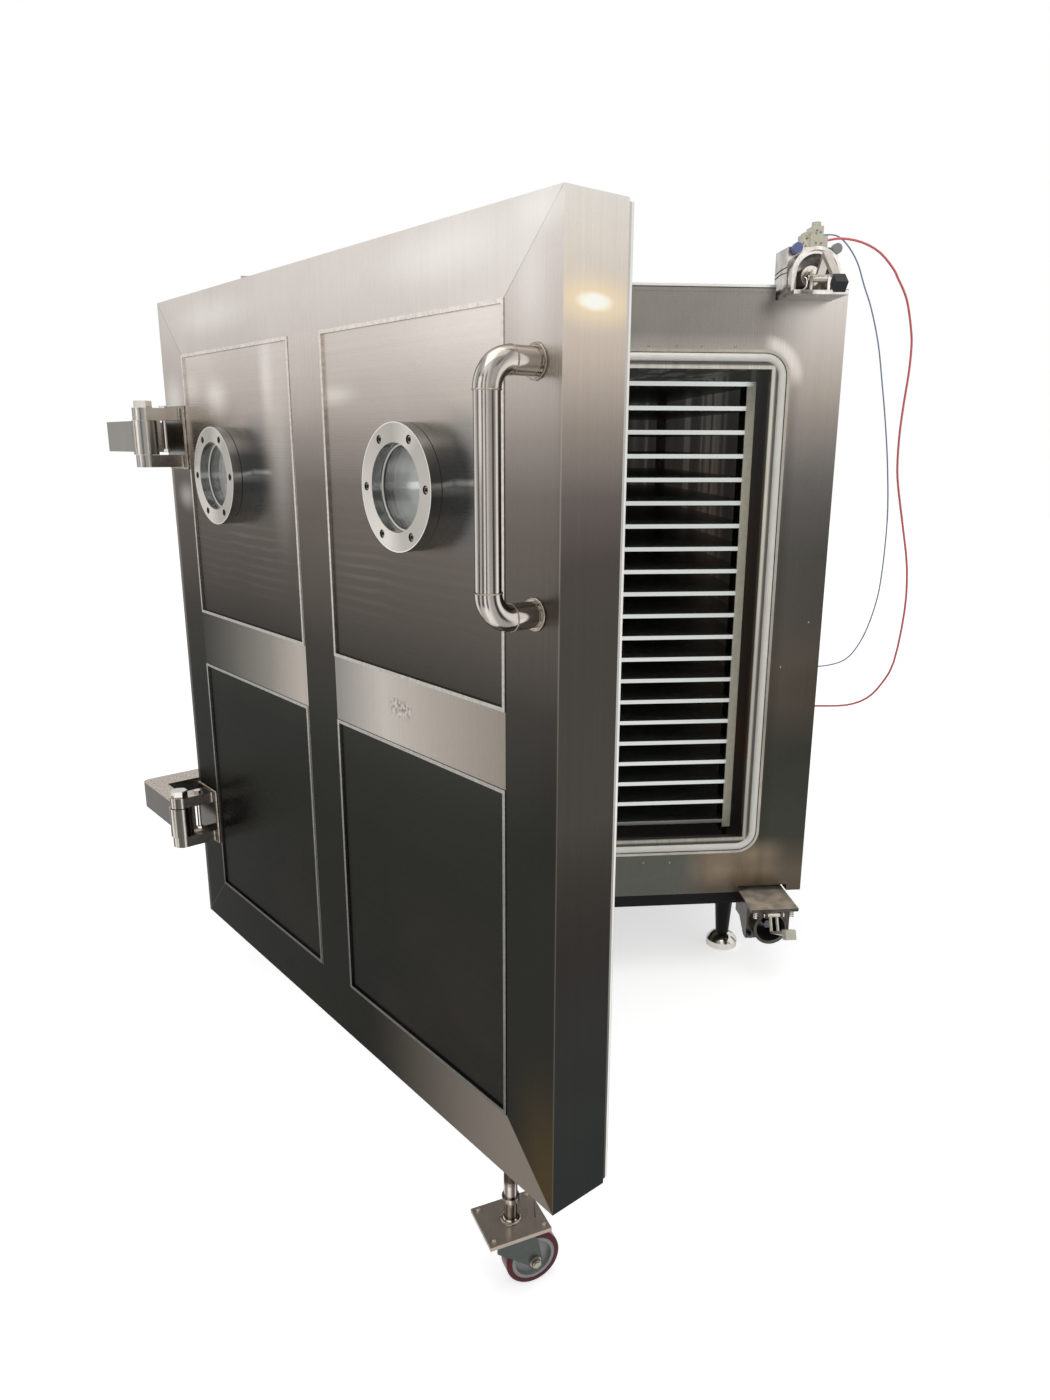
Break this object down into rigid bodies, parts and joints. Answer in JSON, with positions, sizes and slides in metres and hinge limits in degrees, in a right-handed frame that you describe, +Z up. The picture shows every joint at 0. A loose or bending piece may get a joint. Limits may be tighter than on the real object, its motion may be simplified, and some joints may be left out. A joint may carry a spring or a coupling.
{
  "type": "freeze dryer chamber",
  "caption": "Floor-standing shelf freeze dryer chamber in brushed stainless steel with a heavy hinged door on a caster, sight glasses and swing clamps.",
  "frame": {"origin": "centre of the front right levelling foot's underside, on the floor", "axes": "+X to the right along the front, +Y to the back, +Z up"},
  "size_m": [2.2589, 2.8514, 2.195],
  "materials": {
    "brushed_steel": "brushed",
    "vessel_steel": "satin",
    "satin_steel": "satin",
    "polished_steel": "polished",
    "cylinder_body": "satin",
    "post_steel": "satin",
    "cream_plastic": "matt",
    "black_rubber": "matt",
    "white_silicone": "matt",
    "foam": "matt",
    "dark_frame": "matt",
    "black_sleeve": "satin",
    "clear_glass": "clear",
    "blue_plastic": "gloss",
    "grey_plastic": "satin",
    "red_tube": "gloss",
    "blue_tube": "gloss",
    "caster_steel": "satin",
    "hub_plastic": "satin",
    "red_tyre": "matt"
  },
  "bodies": {
    "chamber": {"vessel": "vessel_steel", "seal_channel": "polished_steel", "door_seal": "white_silicone", "insulation": "foam", "front_cladding": "brushed_steel", "side_cladding": "brushed_steel", "rear_cladding": "brushed_steel", "shelves": "vessel_steel", "rack_posts": "post_steel", "post_strips": "cream_plastic", "fluid_headers": "vessel_steel", "vacuum_port": "satin_steel", "base_frame": "dark_frame", "leg_sleeves": "black_sleeve", "levelling_feet": "polished_steel", "hinge_brackets": "satin_steel", "bracket_pins": "polished_steel", "upper_clamp_bracket": "polished_steel", "lower_clamp_bracket": "polished_steel", "upper_clamp_cylinder": "cylinder_body", "lower_clamp_cylinder": "cylinder_body", "upper_clamp_pin": "polished_steel", "lower_clamp_pin": "polished_steel", "valve_block": "cream_plastic", "blue_fitting": "blue_plastic", "grey_fitting": "grey_plastic", "bulkhead_fittings": "polished_steel", "red_air_tube": "red_tube", "blue_air_tube": "blue_tube"},
    "hinge_arms": {"upper_hinge_arm": "satin_steel", "lower_hinge_arm": "satin_steel"},
    "upper_clamp_finger": {"upper_clamp_arm": "satin_steel", "upper_clamp_pad": "black_rubber"},
    "lower_clamp_finger": {"lower_clamp_arm": "satin_steel", "lower_clamp_pad": "cream_plastic"},
    "door": {"door_casing": "brushed_steel", "door_strips": "brushed_steel", "upper_left_panel": "brushed_steel", "upper_right_panel": "brushed_steel", "lower_left_panel": "brushed_steel", "lower_right_panel": "brushed_steel", "panel_beads": "polished_steel", "door_core": "foam", "liner_spacer": "black_rubber", "door_liner": "vessel_steel", "sight_flanges": "polished_steel", "sight_gaskets": "black_rubber", "sight_glasses": "clear_glass", "sight_rings": "polished_steel", "sight_screws": "polished_steel", "door_handle": "satin_steel", "hinge_leaves": "satin_steel", "hinge_pins": "polished_steel", "hinge_stop_bolts": "polished_steel", "caster_column": "satin_steel", "caster_plate": "satin_steel"},
    "caster_swivel_fork": {"caster_fork": "caster_steel", "axle_bolt": "polished_steel"},
    "caster_wheel": {"wheel_hub": "hub_plastic", "tyre": "red_tyre"}
  },
  "joints": [
    {"name": "door_swing", "type": "hinge", "parent": "chamber", "child": "hinge_arms", "pos_m": [-1.465, -0.085, 1.156], "axis": [0, 0, 1], "range_deg": [-54.65, 55.35]},
    {"name": "door_float", "type": "hinge", "parent": "hinge_arms", "child": "door", "pos_m": [-1.61342, -0.43009, 1.156], "axis": [0, 0, 1], "range_deg": [-3, 0]},
    {"name": "caster_swivel", "type": "hinge", "parent": "door", "child": "caster_swivel_fork", "pos_m": [-0.8107, -1.30484, 0.14], "axis": [0, 0, 1], "continuous": true},
    {"name": "caster_spin", "type": "hinge", "parent": "caster_swivel_fork", "child": "caster_wheel", "pos_m": [-0.77091, -1.29141, 0.057], "axis": [0.3198, -0.9475, 0], "continuous": true},
    {"name": "upper_clamp_swing", "type": "hinge", "parent": "chamber", "child": "upper_clamp_finger", "pos_m": [0.065, -0.275, 2.044], "axis": [1, 0, 0], "range_deg": [-30, 50]},
    {"name": "lower_clamp_swing", "type": "hinge", "parent": "chamber", "child": "lower_clamp_finger", "pos_m": [0.065, -0.287, 0.25], "axis": [1, 0, 0], "range_deg": [-65, 20]}
  ]
}
